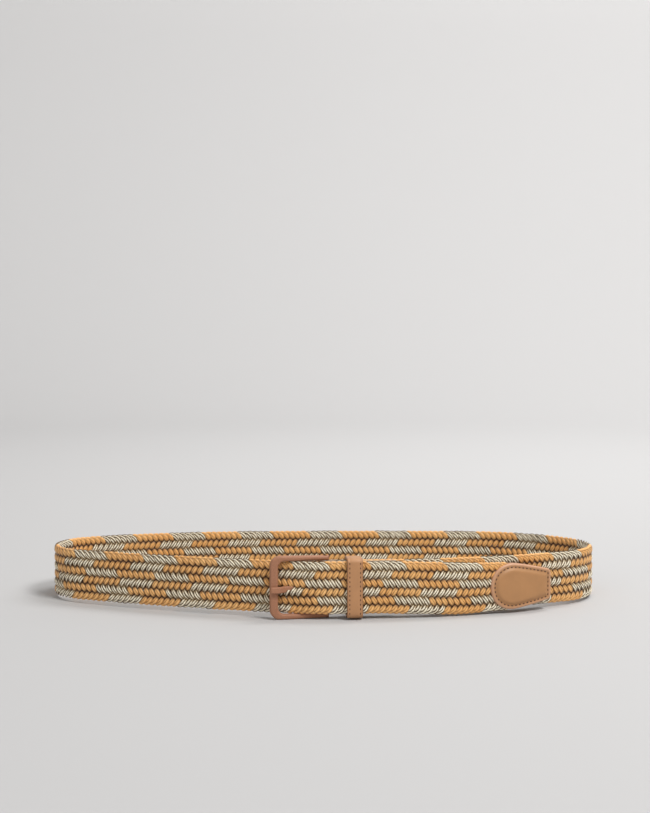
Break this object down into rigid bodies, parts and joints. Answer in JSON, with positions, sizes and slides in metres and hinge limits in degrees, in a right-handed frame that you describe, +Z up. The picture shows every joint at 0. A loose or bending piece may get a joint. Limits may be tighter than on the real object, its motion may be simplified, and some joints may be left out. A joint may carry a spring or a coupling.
{
  "type": "braided belt",
  "caption": "Braided two-tone stretch belt, buckled into an oval loop standing on edge, with a hinged prong buckle, sliding leather keeper and stitched leather tip.",
  "frame": {"origin": "Centre of the bounding box's floor face, on the surface that the belt stands on.", "axes": "+Z up, across the strap; +X along the oval loop's length, from the buckle towards the free end; -Y is the buckle side, facing the viewer, and +Y the back of the loop."},
  "size_m": [0.3941, 0.1592, 0.043],
  "materials": {
    "cord_tan": "plump waxed cotton cords, soft sheen",
    "yarn_cream": "matt undyed cotton yarn",
    "yarn_olive": "matt dark olive-brown cotton yarn",
    "trim_leather": "smooth light tan leather, satin",
    "lining_leather": "plain matt tan leather",
    "chape_leather": "grey-brown leather, matt",
    "keeper_thread": "dark brown waxed thread",
    "tip_thread": "dark brown waxed thread",
    "chape_thread": "brown waxed thread",
    "buckle_enamel": "matt reddish-brown powder coat over zinc alloy",
    "pin_steel": "plain drawn wire"
  },
  "bodies": {
    "belt": {"braided_strap": "cord_tan", "chape_leather": "chape_leather", "chape_thread": "chape_thread", "tip_front": "trim_leather", "tip_back": "lining_leather", "tip_thread": "tip_thread"},
    "buckle": {"buckle_frame": "buckle_enamel", "hinge_pin": "pin_steel"},
    "prong": {"prong": "buckle_enamel"},
    "keeper": {"keeper_leather": "trim_leather", "keeper_lining": "lining_leather", "keeper_staple": "pin_steel", "keeper_thread_buckle_side": "keeper_thread", "keeper_thread_tip_side": "keeper_thread"}
  },
  "joints": [
    {"name": "buckle_hinge", "type": "hinge", "parent": "belt", "child": "buckle", "pos_m": [0.00138, -0.06845, 0.02137], "axis": [0, 0.0262, 0.9997], "range_deg": [0, 6]},
    {"name": "prong_hinge", "type": "hinge", "parent": "buckle", "child": "prong", "pos_m": [0.00138, -0.06845, 0.02137], "axis": [0, 0.0262, 0.9997], "range_deg": [0, 8]},
    {"name": "keeper_slide", "type": "slide", "parent": "belt", "child": "keeper", "axis": [0.9962, 0.0871, -0.0023], "range_m": [-0.008, 0.025]}
  ]
}
